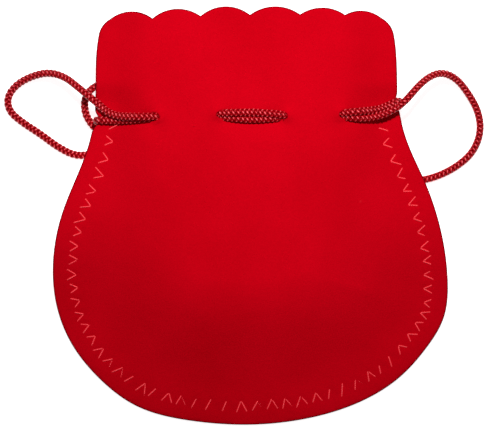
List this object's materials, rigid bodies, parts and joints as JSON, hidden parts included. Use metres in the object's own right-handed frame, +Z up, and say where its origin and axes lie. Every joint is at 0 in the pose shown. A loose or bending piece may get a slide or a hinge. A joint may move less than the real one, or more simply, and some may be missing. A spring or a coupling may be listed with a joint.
{
  "type": "drawstring gift pouch",
  "caption": "Flat bell-shaped velvet gift pouch with a scalloped mouth, zigzag seam and two cords that lace through its neck and pull out at either side to close it.",
  "frame": {"origin": "on the surface that the pouch lies on, under the middle of its panels", "axes": "+X to the pouch's right, +Y from the round bottom to the scalloped mouth, +Z up, out of the front panel"},
  "size_m": [0.1204, 0.1046, 0.0149],
  "materials": {
    "velvet": "short matt flock pile",
    "seam_thread": "satin polyester thread",
    "cord": "satin knitted cord"
  },
  "bodies": {
    "pouch": {"front_panel": "velvet", "back_panel": "velvet", "seam_needle_thread": "seam_thread", "seam_bobbin_thread": "seam_thread", "left_cord_laced": "cord", "right_cord_laced": "cord"},
    "front_flap": {"front_flap": "velvet"},
    "back_flap": {"back_flap": "velvet"},
    "left_loop": {"left_pull_loop": "cord", "left_return_strand": "cord", "left_knot": "cord", "left_cord_ends": "cord"},
    "right_loop": {"right_pull_loop": "cord", "right_return_strand": "cord", "right_knot": "cord", "right_cord_ends": "cord"}
  },
  "joints": [
    {"name": "front_flap_fold", "type": "hinge", "parent": "pouch", "child": "front_flap", "pos_m": [0, 0.032, 0.0125], "axis": [1, 0, 0], "range_deg": [0, 80]},
    {"name": "back_flap_fold", "type": "hinge", "parent": "pouch", "child": "back_flap", "pos_m": [0, 0.0355, 0.0059], "axis": [-1, 0, 0], "range_deg": [0, 80]},
    {"name": "left_draw", "type": "slide", "parent": "pouch", "child": "left_loop", "axis": [-1, 0, 0], "range_m": [0, 0.025]},
    {"name": "right_draw", "type": "slide", "parent": "pouch", "child": "right_loop", "axis": [1, 0, 0], "range_m": [0, 0.025]}
  ]
}
